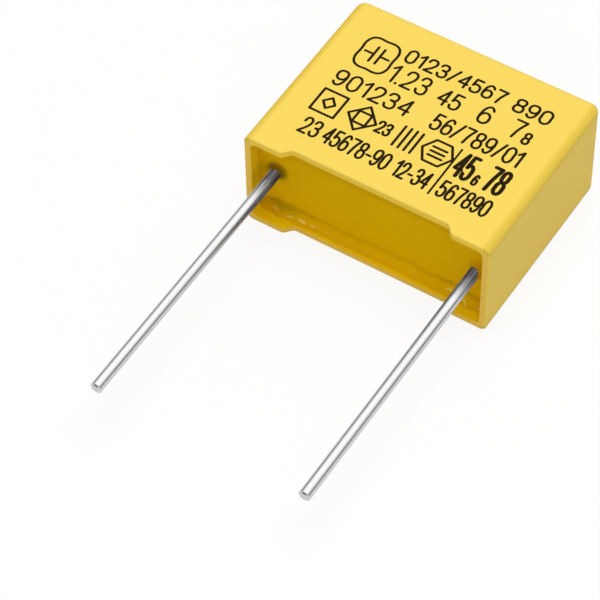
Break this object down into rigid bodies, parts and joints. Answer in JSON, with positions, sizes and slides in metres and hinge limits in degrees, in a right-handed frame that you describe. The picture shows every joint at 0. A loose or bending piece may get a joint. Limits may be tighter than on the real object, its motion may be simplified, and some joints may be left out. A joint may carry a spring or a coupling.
{
  "type": "polypropylene film capacitor",
  "caption": "Boxed film capacitor: yellow moulded case with stand-off feet, potted open side and straight tinned leads for a circuit board.",
  "frame": {"origin": "centre of the broad back face that the part lies on", "axes": "+X along the lead pitch, +Y from the leads to the closed side of the case, +Z out of the marked front face"},
  "size_m": [0.018, 0.0332, 0.008],
  "materials": {
    "case": "satin moulded polyester, warm yellow",
    "potting_resin": "glossy cast epoxy, deep amber yellow",
    "film": "silvery metallised film, tightly wound",
    "sprayed_zinc": "rough grey sprayed metal",
    "tinned_wire": "bright drawn wire with a tin coat"
  },
  "bodies": {
    "root": {"case": "case", "potting_resin": "potting_resin", "film_winding": "film", "end_contact_left": "sprayed_zinc", "end_contact_right": "sprayed_zinc", "lead_left": "tinned_wire", "lead_right": "tinned_wire"}
  },
  "joints": []
}
